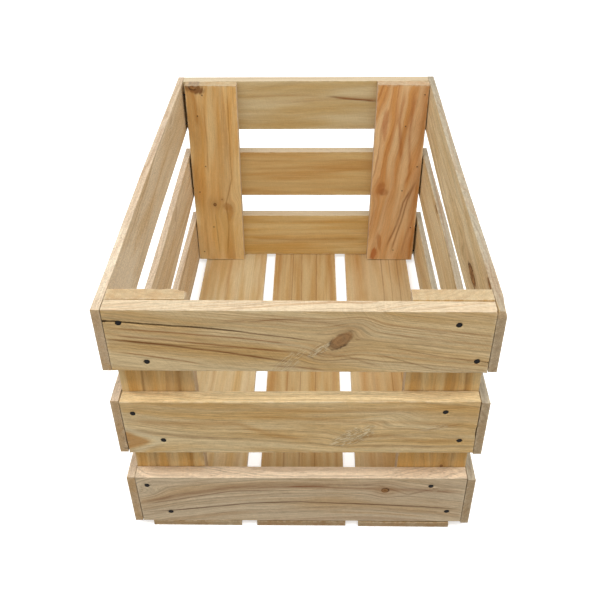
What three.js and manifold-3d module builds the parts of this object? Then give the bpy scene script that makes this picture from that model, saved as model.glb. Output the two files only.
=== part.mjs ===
// A wooden apple crate: three tiers of sawn pine slats nailed round four flat corner posts,
// standing on three floor boards.
//
// Millimetres. +X is the crate's right, +Y runs from the front end to the back end, +Z is up.
// The origin is the middle of the underside.

import * as THREE from 'three';
import { mergeVertices } from 'three/addons/utils/BufferGeometryUtils.js';
import Module from 'manifold-3d';

const wasm = await Module();
wasm.setup();

// ---------------------------------------------------------------- driving dimensions

const WIDTH = 352; // where the side slats are nailed to the posts
const LENGTH = 524;
const HEIGHT = 291;
const SIDE_STOCK = 8; // side slats
const FLOOR_STOCK = 7; // floor boards
const THICK_STOCK = 15; // end slats and corner posts
const POST_WIDTH = 70;
const SIDE_SLAT_WIDTH = 69;
const SIDE_SLAT_STEPS = 16; // lengthwise divisions of a bent side slat
const FIT_GAP = 0.3; // left open between pieces that touch

const NAIL = {
  shankRadius: 1.25,
  headRadius: 2.5,
  headThickness: 0.8,
  length: 31,
  pointLength: 3,
  sunk: 0.3, // how far the head is below the face of the wood
};
const NAIL_SIDES = 8;
const HOLE_CLEARANCE = 0.3;
const FLOOR_NAIL_SPREAD = 34; // from a floor board's middle to each of its nails

const TIERS = ['bottom', 'middle', 'top'];
const SIDES = { left: -1, right: 1 }; // direction along X

// The crate is put together by hand, so no slat is quite level and no post is quite upright.
// `rise` is how much higher a slat's right end is than its left end, from the bottom tier up.
// `nails` gives, from the bottom tier up, how far each nail is in from the slat's end and from its
// edge: left upper, left lower, right upper, right lower, seen facing that end from outside.
const ENDS = {
  front: {
    direction: -1,
    slatWidth: 69,
    rise: [2, 3, -1.3],
    nails: [
      [[11, 13], [31, 14], [36, 11], [16, 18]],
      [[11, 17], [36, 16], [32, 13], [15, 18]],
      [[14, 15], [33, 10], [31, 16], [11, 12]],
    ],
  },
  back: {
    direction: 1,
    slatWidth: 71,
    rise: [0, 0, 0],
    nails: [
      [[10, 12], [34, 18], [27, 11], [9, 15]],
      [[8, 16], [27, 16], [23, 15], [11, 14]],
      [[6, 14], [29, 11], [27, 14], [18, 27]],
    ],
  },
};

// Each floor board's middle along X, and how far its back end lies to the right of its front end.
const FLOOR_BOARDS = {
  left: { middle: -110, width: 94, skew: 0 },
  middle: { middle: -1.2, width: 94, skew: -2.5 },
  right: { middle: 108, width: 95.5, skew: 0 },
};

// How far each thin side slat bulges outwards halfway along, from the bottom tier up.
const SIDE_BULGE = {
  left: [2.5, -0.8, 1],
  right: [2, 2.5, -1.2],
};

// How far the top of each post stands to the right of its foot.
const POST_LEAN = {
  front: { left: 0, right: 0 },
  back: { left: 4, right: 3.5 },
};

// ---------------------------------------------------------------- sizes worked out from those

const BASE = FLOOR_STOCK + FIT_GAP; // height of everything that stands on the floor boards
const INNER_WIDTH = WIDTH - 2 * SIDE_STOCK; // between the side slats
const END_SLAT_Y = LENGTH / 2 - THICK_STOCK / 2; // middle of an end slat's thickness
const POST_Y = END_SLAT_Y - THICK_STOCK - FIT_GAP; // middle of a post's thickness
const POST_HEIGHT = HEIGHT - BASE;
const BAY_REACH = POST_Y - THICK_STOCK / 2; // from the crate's middle to the posts' inner faces

// The tiers are spaced evenly, with the bottom one on the floor boards and the top one at the rim.
function tierHeight(tier, slatWidth) {
  const lowest = BASE + slatWidth / 2;
  const highest = HEIGHT - slatWidth / 2;
  return THREE.MathUtils.lerp(lowest, highest, tier / (TIERS.length - 1));
}

// ---------------------------------------------------------------- materials

const pine = (color, roughness) => () => new THREE.MeshStandardMaterial({ color, roughness, metalness: 0 });

const MATERIALS = {
  endSlat: pine(0xb69c75, 0.75),
  sideSlat: pine(0xbda57d, 0.85),
  post: pine(0xb68d57, 0.7),
  floorBoard: pine(0xbe9a69, 0.75),
  nail: () => new THREE.MeshStandardMaterial({ color: 0x3a3b3d, roughness: 0.55, metalness: 0.8 }),
};

// ---------------------------------------------------------------- making pieces

function namedMesh(name, geometry, material) {
  const mesh = new THREE.Mesh(geometry, material());
  mesh.name = name;
  return mesh;
}

function board(name, size, centre, material, steps = [1, 1, 1]) {
  const mesh = namedMesh(name, new THREE.BoxGeometry(...size, ...steps), material);
  mesh.position.set(...centre);
  return mesh;
}

// A profile turned round the Y axis: the head is at y = 0 and the point is towards +Y.
function turned(profile) {
  const points = profile.map(([radius, y]) => new THREE.Vector2(radius, y));
  return new THREE.LatheGeometry(points, NAIL_SIDES);
}

function nailGeometry() {
  return turned([
    [0, 0],
    [NAIL.headRadius, 0],
    [NAIL.headRadius, NAIL.headThickness],
    [NAIL.shankRadius, NAIL.headThickness],
    [NAIL.shankRadius, NAIL.length - NAIL.pointLength],
    [0, NAIL.length],
  ]);
}

// The room a nail takes up in the wood, open at the face it was driven into and clear of its point.
function nailHoleGeometry() {
  const outside = -2 * NAIL.sunk;
  const shoulder = NAIL.headThickness + HOLE_CLEARANCE;
  const end = NAIL.length + NAIL.sunk;
  return turned([
    [0, outside],
    [NAIL.headRadius + HOLE_CLEARANCE, outside],
    [NAIL.headRadius + HOLE_CLEARANCE, shoulder],
    [NAIL.shankRadius + HOLE_CLEARANCE, shoulder],
    [NAIL.shankRadius + HOLE_CLEARANCE, end],
    [0, end],
  ]);
}

function nail(name, position, rotation) {
  const mesh = namedMesh(name, nailGeometry(), MATERIALS.nail);
  mesh.position.set(...position);
  mesh.rotation.set(...rotation);
  return mesh;
}

// ---------------------------------------------------------------- boolean cuts

function toManifold(geometry) {
  const bare = geometry.clone();
  bare.deleteAttribute('normal');
  bare.deleteAttribute('uv');
  const merged = mergeVertices(bare, 1e-4);
  const vertProperties = new Float32Array(merged.attributes.position.array);
  const triVerts = new Uint32Array(merged.index.array);
  return new wasm.Manifold(new wasm.Mesh({ numProp: 3, vertProperties, triVerts }));
}

function toGeometry(solid) {
  const cut = solid.getMesh();
  const geometry = new THREE.BufferGeometry();
  geometry.setAttribute('position', new THREE.BufferAttribute(cut.vertProperties, 3));
  geometry.setIndex(new THREE.BufferAttribute(cut.triVerts, 1));
  geometry.computeVertexNormals();
  return geometry;
}

// Drills a board for the nails that go through it or into it.
function drill(mesh, nails) {
  mesh.updateMatrix();
  const intoBoard = mesh.matrix.clone().invert();
  let solid = toManifold(mesh.geometry);
  for (const driven of nails) {
    driven.updateMatrix();
    const hole = nailHoleGeometry().applyMatrix4(driven.matrix).applyMatrix4(intoBoard);
    solid = solid.subtract(toManifold(hole));
  }
  mesh.geometry = toGeometry(solid);
}

// ---------------------------------------------------------------- the crate's pieces

// A side slat is straight where it is nailed to the posts and bulges in between.
function sideSlat(side, tier) {
  const size = [SIDE_STOCK, LENGTH, SIDE_SLAT_WIDTH];
  const centre = [
    SIDES[side] * (WIDTH - SIDE_STOCK) / 2,
    0,
    tierHeight(tier, SIDE_SLAT_WIDTH),
  ];
  const steps = [1, SIDE_SLAT_STEPS, 1];
  const mesh = board(`side_slat_${side}_${TIERS[tier]}`, size, centre, MATERIALS.sideSlat, steps);
  const { position } = mesh.geometry.attributes;
  for (let index = 0; index < position.count; index += 1) {
    const share = Math.min(1, Math.abs(position.getY(index)) / BAY_REACH);
    const bulge = SIDE_BULGE[side][tier] * (1 - share ** 2) ** 2;
    position.setX(index, position.getX(index) + SIDES[side] * bulge);
  }
  return mesh;
}

// An end slat that isn't level is cut a little shorter, so that it still fits between the side slats.
// The bottom one rests on the floor boards with its lower corner, and the top one's higher corner is
// at the rim.
function endSlat(end, tier) {
  const { direction, slatWidth, rise } = ENDS[end];
  const tilt = Math.atan(rise[tier] / INNER_WIDTH);
  const steepness = Math.sin(Math.abs(tilt));
  const length = INNER_WIDTH - 2 * FIT_GAP - slatWidth * steepness;
  const size = [length, THICK_STOCK, slatWidth];
  const middleTier = (TIERS.length - 1) / 2;
  const lift = Math.sign(middleTier - tier) * length / 2 * steepness;
  const centre = [0, direction * END_SLAT_Y, tierHeight(tier, slatWidth) + lift];
  const mesh = board(`end_slat_${end}_${TIERS[tier]}`, size, centre, MATERIALS.endSlat);
  mesh.rotation.y = -tilt;
  return mesh;
}

// A post touches its side slats along one edge, or with one corner where it leans.
function cornerPost(end, side) {
  const lean = Math.atan(POST_LEAN[end][side] / POST_HEIGHT);
  const height = POST_HEIGHT - POST_WIDTH * Math.sin(lean);
  const reach = POST_WIDTH / 2 * Math.cos(lean) + height / 2 * Math.sin(lean);
  const size = [POST_WIDTH, THICK_STOCK, height];
  const centre = [
    SIDES[side] * (INNER_WIDTH / 2 - FIT_GAP - reach),
    ENDS[end].direction * POST_Y,
    BASE + POST_HEIGHT / 2,
  ];
  const mesh = board(`corner_post_${end}_${side}`, size, centre, MATERIALS.post);
  mesh.rotation.y = lean;
  return mesh;
}

// A floor board that lies askew is cut a little shorter, so that its corners stay inside the crate's length.
function floorBoard(place) {
  const { middle, width, skew } = FLOOR_BOARDS[place];
  const angle = Math.atan(skew / LENGTH);
  const length = LENGTH - width * Math.sin(Math.abs(angle));
  const size = [width, length, FLOOR_STOCK];
  const mesh = board(`floor_board_${place}`, size, [middle, 0, FLOOR_STOCK / 2], MATERIALS.floorBoard);
  mesh.rotation.z = -angle;
  return mesh;
}

// Four nails hold each end slat to its two posts. The front nails point along +Y and the back ones
// are turned round to point along -Y.
function endNails(end, tier) {
  const { direction, slatWidth, nails } = ENDS[end];
  const faceY = direction * (LENGTH / 2 - NAIL.sunk);
  const turn = direction < 0 ? 0 : Math.PI;
  return nails[tier].map(([inset, edge], index) => {
    const side = (index < 2) === (direction < 0) ? 'left' : 'right';
    const row = index % 2 === 0 ? 'upper' : 'lower';
    const rowDirection = row === 'upper' ? 1 : -1;
    const position = [
      SIDES[side] * (INNER_WIDTH / 2 - inset),
      faceY,
      tierHeight(tier, slatWidth) + rowDirection * (slatWidth / 2 - edge),
    ];
    return nail(`end_nail_${end}_${TIERS[tier]}_${side}_${row}`, position, [0, 0, turn]);
  });
}

// Two nails go up through each end of each floor board into the bottom end slat.
function floorNails(end) {
  const pointingUp = [Math.PI / 2, 0, 0];
  const { direction } = ENDS[end];
  return Object.keys(FLOOR_BOARDS).flatMap((place) => Object.keys(SIDES).map((side) => {
    const { middle, skew } = FLOOR_BOARDS[place];
    const x = middle + direction * skew / 2 + SIDES[side] * FLOOR_NAIL_SPREAD;
    return nail(`floor_nail_${end}_${place}_${side}`, [x, direction * END_SLAT_Y, NAIL.sunk], pointingUp);
  }));
}

// ---------------------------------------------------------------- putting it together

const crate = new THREE.Group();

for (const side of Object.keys(SIDES)) {
  for (const tier of TIERS.keys()) crate.add(sideSlat(side, tier));
}

const floorBoards = Object.keys(FLOOR_BOARDS).map(floorBoard);

for (const end of Object.keys(ENDS)) {
  const upNails = floorNails(end);
  const tierNails = TIERS.map((_, tier) => endNails(end, tier));

  for (const tier of TIERS.keys()) {
    const slat = endSlat(end, tier);
    drill(slat, tier === 0 ? [...tierNails[tier], ...upNails] : tierNails[tier]);
    crate.add(slat);
  }
  for (const side of Object.keys(SIDES)) {
    const post = cornerPost(end, side);
    drill(post, tierNails.flat().filter((driven) => driven.name.includes(`_${side}_`)));
    crate.add(post);
  }
  for (const plank of floorBoards) drill(plank, upNails);
  crate.add(...tierNails.flat(), ...upNails);
}

crate.add(...floorBoards);

export default crate;
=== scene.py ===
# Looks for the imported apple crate: sawn pine boards with their own grain and knots, dull wire nails,
# a pale floor, soft studio light, and a camera looking down into the crate from its front end.
#
# Inside a board, places are in millimetres: (along its length, across its width, through its
# thickness) from its middle. Everything that is put into the scene is in metres.

import math
import random
from dataclasses import dataclass

import bmesh
import bpy
import numpy as np
from mathutils import Matrix, Vector


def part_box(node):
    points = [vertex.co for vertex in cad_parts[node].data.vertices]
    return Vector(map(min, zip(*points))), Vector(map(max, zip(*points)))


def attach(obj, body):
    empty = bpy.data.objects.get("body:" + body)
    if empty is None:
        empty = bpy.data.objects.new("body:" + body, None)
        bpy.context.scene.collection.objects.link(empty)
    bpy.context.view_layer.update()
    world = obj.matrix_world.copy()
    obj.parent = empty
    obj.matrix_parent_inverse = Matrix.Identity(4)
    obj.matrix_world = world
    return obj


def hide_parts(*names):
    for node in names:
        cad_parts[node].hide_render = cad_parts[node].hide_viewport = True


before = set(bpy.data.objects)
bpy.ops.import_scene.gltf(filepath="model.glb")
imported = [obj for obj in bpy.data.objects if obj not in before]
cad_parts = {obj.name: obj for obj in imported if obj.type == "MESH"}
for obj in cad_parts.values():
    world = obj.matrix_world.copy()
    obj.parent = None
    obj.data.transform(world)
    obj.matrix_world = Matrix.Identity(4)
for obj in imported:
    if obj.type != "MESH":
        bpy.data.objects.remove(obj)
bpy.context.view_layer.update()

MM = 0.001  # metres in a millimetre

TIERS = ("bottom", "middle", "top")
SIDES = {"left": -1, "right": 1}
ENDS = {"front": -1, "back": 1}
FLOOR_PLACES = ("left", "middle", "right")

X, Y, Z = Vector((1, 0, 0)), Vector((0, 1, 0)), Vector((0, 0, 1))


# ---------------------------------------------------------------- noise for shaping meshes

def lattice_value(i, j, k, seed):
    """A repeatable pseudo-random value from 0 to 1 for each whole-number place."""
    n = (i * 73856093) ^ (j * 19349663) ^ (k * 83492791) ^ (seed * 668265263)
    n = ((n ^ (n >> 13)) * 1274126177) & 0x7FFFFFFF
    return ((n ^ (n >> 16)) & 0xFFFF) / 65535.0


def smooth_noise(points, size, seed):
    """Noise from -1 to 1 at an array of points, with features of the given size in each direction."""
    scaled = points / np.asarray(size, float) + 500.0
    whole = np.floor(scaled).astype(np.int64)
    part = scaled - whole
    part = part * part * (3 - 2 * part)
    total = np.zeros(len(points))
    for corner in np.ndindex(2, 2, 2):
        weight = np.prod(np.where(corner, part, 1 - part), axis=1)
        total += weight * lattice_value(*(whole + corner).T, seed)
    return 2 * total - 1


def smooth_step(low, high, value):
    t = np.clip((value - low) / (high - low), 0, 1)
    return t * t * (3 - 2 * t)


# ---------------------------------------------------------------- boards, measured from the frame

class Board:
    """One CAD board's middle, axes, half sizes and bulge, in metres, read from its node's mesh."""

    def __init__(self, node, along, across):
        self.node = node
        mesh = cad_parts[node].data
        self.along = self.true_axis(mesh, along)
        self.across = self.true_axis(mesh, across)
        self.through = self.along.cross(self.across)
        self.axes = np.array([self.along, self.across, self.through])
        reach = np.array([v.co for v in mesh.vertices]) @ self.axes.T
        length_middle = (reach[:, 0].max() + reach[:, 0].min()) / 2
        from_end = reach[:, 0].max() - length_middle - np.abs(reach[:, 0] - length_middle)
        ends = reach[from_end < 0.1 * MM]
        low, high = ends.min(axis=0), ends.max(axis=0)
        self.half = (high - low) / 2
        self.middle = Vector(self.axes.T @ ((high + low) / 2))
        self.bulge = self.measure_bulge(reach - (high + low) / 2)

    @staticmethod
    def true_axis(mesh, rough):
        """The direction that the board's faces near a rough direction really point in."""
        total = Vector()
        for face in mesh.polygons:
            if face.normal.dot(rough) > 0.98:
                total += face.normal * face.area
        return total.normalized()

    def measure_bulge(self, reach):
        """How far the board bows through its thickness, at each place along it where the CAD has corners."""
        on_arris = (reach[:, 1] > self.half[1] - 0.1 * MM) & (reach[:, 2] > 0)
        arris = reach[on_arris]
        arris = arris[arris[:, 0].argsort()]
        return arris[:, 0], arris[:, 2] - self.half[2]

    def to_world(self, places_mm):
        places = places_mm * MM
        bulge = np.interp(places[:, 0], *self.bulge)
        return np.asarray(self.middle) + places @ self.axes + np.outer(bulge, self.axes[2])

    def to_board(self, point):
        """A world point, in millimetres from the board's middle along its axes."""
        return (self.axes @ np.asarray(point - self.middle)) / MM


def all_boards():
    boards = []
    for tier in TIERS:
        boards += [Board(f"side_slat_{side}_{tier}", Y, Z) for side in SIDES]
        boards += [Board(f"end_slat_{end}_{tier}", X, Z) for end in ENDS]
    boards += [Board(f"corner_post_{end}_{side}", Z, X) for end in ENDS for side in SIDES]
    boards += [Board(f"floor_board_{place}", Y, X) for place in FLOOR_PLACES]
    return {board.node: board for board in boards}


# ---------------------------------------------------------------- nails

HEAD_RADIUS = 2.5
SHANK_RADIUS = 1.25
HEAD_THICKNESS = 1.2
HEAD_FACE = 0.6  # how deep the part of the head goes that the hammer shaped
SIDE_NAIL_EDGE = 14  # from a side slat's edge
SIDE_NAIL_LENGTH = 31
SIDE_NAIL_SUNK = 0.3  # below the slat's face


@dataclass
class Nail:
    """A nail's name, the middle of its head's face, its direction and length in metres, and its CAD node."""

    name: str
    head: Vector
    direction: Vector
    length: float
    node: str | None = None


def cad_nails():
    """Every nail that the frame holds, read from its node's box."""
    nails = []
    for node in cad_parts:
        if "_nail_" not in node:
            continue
        low, high = (Vector(corner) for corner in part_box(node))
        middle = (low + high) / 2
        length = max(high - low)
        if node.startswith("floor_nail"):
            direction = Z
        else:
            direction = Y if "_front_" in node else -Y
        nails.append(Nail(node, middle - direction * length / 2, direction, length, node))
    return nails


def side_nails(boards):
    """Two nails through each end of each side slat, into the edge of the corner post behind it."""
    rng = random.Random(21)
    nails = []
    for side, outward in SIDES.items():
        for tier in TIERS:
            slat = boards[f"side_slat_{side}_{tier}"]
            for end in ENDS:
                post = boards[f"corner_post_{end}_{side}"]
                for row, up in (("upper", 1), ("lower", -1)):
                    edge = SIDE_NAIL_EDGE + rng.uniform(-3, 3)
                    head = Vector((
                        outward * (abs(slat.middle.x) + slat.half[2] - SIDE_NAIL_SUNK * MM),
                        post.middle.y + rng.uniform(-1.5, 1.5) * MM,
                        slat.middle.z + up * (slat.half[1] - edge * MM),
                    ))
                    name = f"side_nail_{side}_{tier}_{end}_{row}"
                    nails.append(Nail(name, head, -outward * X, SIDE_NAIL_LENGTH * MM))
    return nails


def nail_mesh(nail, seed):
    """A wire nail with a hammered, slightly domed and tilted head and a tapered round point."""
    rng = random.Random(seed)
    length = nail.length / MM
    sides = 24
    point_length = 3.5
    profile = [
        (0.0, 0.0), (0.9, 0.02), (1.7, 0.07), (2.2, 0.16), (2.45, 0.32), (HEAD_RADIUS, 0.5),
        (2.4, 0.7), (2.0, 0.85), (1.5, 1.0), (SHANK_RADIUS, 1.5), (SHANK_RADIUS, 6.0),
        (SHANK_RADIUS, length - point_length), (SHANK_RADIUS * 0.6, length - point_length / 2),
        (0.0, length),
    ]
    phase = rng.uniform(0, math.tau)
    oval = rng.uniform(-0.05, 0.05)
    tilt = Vector((rng.uniform(-0.06, 0.06), rng.uniform(-0.06, 0.06)))
    dents = [(rng.uniform(0, math.tau), rng.uniform(0.3, 1.8), rng.uniform(0.05, 0.12)) for _ in range(3)]
    bm = bmesh.new()
    rings = []
    for radius, depth in profile:
        if radius == 0.0:
            rings.append([bm.verts.new((0, 0, depth))])
            continue
        on_head = depth < HEAD_THICKNESS
        ring = []
        for step in range(sides):
            angle = math.tau * step / sides
            wide = radius * (1 + oval * math.cos(2 * angle + phase)) if on_head else radius
            x, y = wide * math.cos(angle), wide * math.sin(angle)
            z = depth
            if depth < HEAD_FACE:
                z += tilt.x * x + tilt.y * y + 0.12
                for turn, reach, deep in dents:
                    away = math.hypot(x - reach * math.cos(turn), y - reach * math.sin(turn))
                    z += deep * math.exp(-(away / 0.7) ** 2)
            ring.append(bm.verts.new((x, y, z)))
        rings.append(ring)
    for upper, lower in zip(rings, rings[1:]):
        for step in range(sides):
            following = (step + 1) % sides
            if len(upper) == 1:
                bm.faces.new((upper[0], lower[following], lower[step]))
            elif len(lower) == 1:
                bm.faces.new((upper[step], upper[following], lower[0]))
            else:
                bm.faces.new((upper[step], upper[following], lower[following], lower[step]))
    bmesh.ops.recalc_face_normals(bm, faces=bm.faces)
    turn = nail.direction.to_track_quat("Z", "Y").to_matrix().to_4x4()
    bmesh.ops.transform(bm, matrix=Matrix.Translation(nail.head) @ turn @ Matrix.Scale(MM, 4), verts=bm.verts)
    mesh = bpy.data.meshes.new(nail.name)
    bm.to_mesh(mesh)
    bm.free()
    mesh.shade_smooth()
    return mesh


# ---------------------------------------------------------------- the shape of a sawn board

FACE_SPACING = 6.0
CLOSEST_LINES = 0.15
EDGE_LINES = (0.0, 0.25, 0.6, 1.1, 1.8, 3.0, 4.5)  # mesh lines this far in from each edge
NAIL_LINES = (0.0, 0.8, 1.6, 2.0, 2.4, 2.7, 3.0, 3.6, 5.0, 7.5)  # and this far each side of a nail
CRACK_MARGIN = 1.2


@dataclass
class Mark:
    """Where a nail's head or point meets a board's face, in the board's millimetres."""

    along: float
    across: float
    face: int  # 1 or -1 through the thickness
    kind: str  # "head" or "point"


@dataclass
class Chip:
    """A piece broken or worn off, near one place on a board."""

    place: tuple
    size: tuple
    depth: float


@dataclass
class Crack:
    """A drying crack on one face: its course as (along, across) places, widest at the first of them."""

    course: tuple
    face: int = 1
    width: float = 0.9
    depth: float = 2.0


def nail_marks(board, nails):
    half = board.half / MM
    marks = []
    for nail in nails:
        if abs(nail.direction.dot(board.through)) < 0.9:
            continue
        for kind, point in (("head", nail.head), ("point", nail.head + nail.direction * nail.length)):
            along, across, through = board.to_board(point)
            inside = abs(along) < half[0] and abs(across) < half[1]
            if inside and abs(abs(through) - half[2]) < 2.0:
                marks.append(Mark(along, across, int(math.copysign(1, through)), kind))
    return marks


def mesh_lines(half, *finer):
    """Where a board's mesh is divided in one direction: evenly, but closer near its edges and where asked."""
    wanted = list(np.linspace(-half, half, max(2, round(2 * half / FACE_SPACING)) + 1))
    for inset in EDGE_LINES:
        wanted += [-half + inset, half - inset]
    for places in finer:
        wanted += list(places)
    lines = [-half]
    for line in sorted(wanted):
        if line - lines[-1] > CLOSEST_LINES and half - line > CLOSEST_LINES:
            lines.append(line)
    return np.array(lines + [half])


def near_marks(centres):
    return [centre + side * away for centre in centres for away in NAIL_LINES for side in (-1, 1)]


def board_lines(board, marks, figure):
    """The mesh lines of a board along its length, across its width and through its thickness."""
    half = board.half / MM
    along = near_marks([mark.along for mark in marks] + [chip.place[0] for chip in figure.chips])
    across = near_marks([mark.across for mark in marks])
    for crack in figure.cracks:
        places = np.array(crack.course)
        low, high = places.min(axis=0), places.max(axis=0)
        along += list(np.arange(low[0], high[0], 2.5))
        across += list(np.arange(low[1] - CRACK_MARGIN, high[1] + CRACK_MARGIN, 0.35))
    return mesh_lines(half[0], along), mesh_lines(half[1], across), mesh_lines(half[2])


def box_surface(lines):
    """The points and four-sided faces of a box's surface, divided at the given lines in each direction."""
    counts = [len(axis) for axis in lines]
    grid = np.stack(np.meshgrid(*lines, indexing="ij"), axis=-1)
    on_surface = np.zeros(counts, bool)
    for axis in range(3):
        ends = [slice(None)] * 3
        for index in (0, -1):
            ends[axis] = index
            on_surface[tuple(ends)] = True
    numbers = np.full(counts, -1)
    numbers[on_surface] = np.arange(on_surface.sum())
    faces = []
    for axis in range(3):
        for index, outward in ((0, False), (-1, True)):
            sheet = np.take(numbers, index, axis=axis)
            quads = np.stack([sheet[:-1, :-1], sheet[1:, :-1], sheet[1:, 1:], sheet[:-1, 1:]], axis=-1)
            # Taking out the middle axis leaves the other two in left-handed order.
            if outward == (axis == 1):
                quads = quads[..., ::-1]
            faces.append(quads.reshape(-1, 4))
    return grid[on_surface], np.concatenate(faces)


def rounded(points, half, radius):
    """Points of a box's surface moved onto the same box with rounded edges, and their directions outward."""
    inner = half - radius[:, None]
    core = np.clip(points, -inner, inner)
    outward = points - core
    outward /= np.linalg.norm(outward, axis=1, keepdims=True)
    return core + outward * radius[:, None], outward


def mark_depth(points, marks, seed):
    """How far nails push the face in, and how dark the wood round them is painted: rust stain, and painted
    shade in the dent round each head and point.
    """
    depth = np.zeros(len(points))
    stain_and_shade = np.zeros(len(points))
    for number, mark in enumerate(marks):
        away = np.hypot(points[:, 0] - mark.along, points[:, 1] - mark.across)
        away = away * (1 + 0.1 * smooth_noise(points, (3, 3, 50), seed + number))
        facing = points[:, 2] * mark.face > 0
        if mark.kind == "head":
            push = 1.1 * (1 - smooth_step(2.5, 2.85, away)) + 0.25 * (1 - smooth_step(2.8, 5.0, away))
            # The dark ring lies on the wall of the dent round the head: painted shade in that hollow, with
            # rust.
            ring = 1 - smooth_step(2.4, 2.8, away)
        else:
            push = 0.4 * (1 - smooth_step(0.4, 1.2, away)) - 0.25 * np.exp(-((away - 1.7) / 0.8) ** 2)
            # A dark spot in the dimple where the point comes out: painted shade in it, with rust.
            ring = 0.7 * (1 - smooth_step(0.5, 1.5, away))
        depth += np.where(facing, push, 0)
        stain_and_shade = np.maximum(stain_and_shade, np.where(facing, ring, 0))
    return depth, stain_and_shade


def chip_depth(points, chips):
    depth = np.zeros(len(points))
    for chip in chips:
        away = np.linalg.norm((points - chip.place) / chip.size, axis=1)
        depth += chip.depth * (1 - smooth_step(0.25, 1.0, away))
    return depth


def crack_depth(points, cracks, seed):
    """How deep the drying cracks are, and how dark they are painted: dirt, and painted shade inside the
    crack.
    """
    depth = np.zeros(len(points))
    stain_and_shade = np.zeros(len(points))
    for number, crack in enumerate(cracks):
        places = np.array(sorted(crack.course))
        share = (points[:, 0] - crack.course[0][0]) / (crack.course[-1][0] - crack.course[0][0])
        gape = np.where((share > -0.02) & (share < 1), np.sqrt(np.clip(1 - share, 0, 1)), 0)
        jitter = 0.35 * smooth_noise(points * (1, 0, 0), (12, 1, 1), seed + number)
        away = np.abs(points[:, 1] - np.interp(points[:, 0], *places.T) - jitter)
        inside = gape * (1 - smooth_step(0.3 * crack.width, 0.5 * crack.width + 0.25, away))
        inside = np.where(points[:, 2] * crack.face > 0, inside, 0)
        depth += crack.depth * inside
        # The crack's inside is darkened: painted shade in the groove, with dirt.
        stain_and_shade = np.maximum(stain_and_shade, inside)
    return depth, stain_and_shade


def board_mesh(board, marks, figure, wear, seed):
    """A sawn board: uneven faces, worn arrises, chips, cracks, and dents where nails go in and come out."""
    half = board.half / MM
    flat, faces = box_surface(board_lines(board, marks, figure))
    chipped = chip_depth(flat, figure.chips)
    uneven = 0.45 * smooth_noise(flat, (24, 24, 24), seed) + 0.35 * smooth_noise(flat, (6, 6, 6), seed + 1)
    at_end = smooth_step(half[0] - 2.0, half[0] - 0.5, np.abs(flat[:, 0]))
    radius = wear * (1 + uneven) * (1 - 0.6 * at_end)
    radius = np.clip(radius + chipped, 0.12, 0.98 * half.min())
    points, outward = rounded(flat, half, radius)

    hollow = 0.18 * (1 + smooth_noise(flat, (90, 30, 30), seed + 2)) / 2
    ripple = 0.07 * (1 + smooth_noise(flat, (9, 5, 5), seed + 3)) / 2
    pushed, nail_rust_and_shade = mark_depth(flat, marks, seed + 4)
    split, crack_dirt_and_shade = crack_depth(flat, figure.cracks, seed + 40)
    sunk = (hollow + ripple) * (1 - at_end) + pushed + split + 0.6 * chipped
    points = points - outward * sunk[:, None]

    mesh = bpy.data.meshes.new(board.node)
    mesh.from_pydata(board.to_world(points).tolist(), [], faces.tolist())
    mesh.shade_smooth()
    near_edge = np.sort(np.clip(1 - (half - np.abs(flat)) / 3.0, 0, 1), axis=1)[:, 1]
    end_grain = smooth_step(half[0] - 0.3, half[0] - 0.05, np.abs(flat[:, 0]))
    sawn_edge = smooth_step(half[1] - 0.5, half[1] - 0.1, np.abs(flat[:, 1]))
    store(mesh, "wood_mm", "FLOAT_VECTOR", "vector", points)
    store(mesh, "end_grain", "FLOAT", "value", end_grain)
    store(mesh, "sawn_edge", "FLOAT", "value", sawn_edge)
    store(mesh, "arris", "FLOAT", "value", near_edge)
    # stain_and_shade darkens the wood round nails and in cracks: rust and dirt, and painted shade in those
    # hollows.
    store(mesh, "stain_and_shade", "FLOAT", "value", np.maximum(nail_rust_and_shade, crack_dirt_and_shade))
    return mesh


def store(mesh, name, kind, field_name, values):
    """Keeps one value for each vertex, for the material to read."""
    attribute = mesh.attributes.new(name, kind, "POINT")
    attribute.data.foreach_set(field_name, np.asarray(values, np.float32).ravel())


# ---------------------------------------------------------------- shader building

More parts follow.
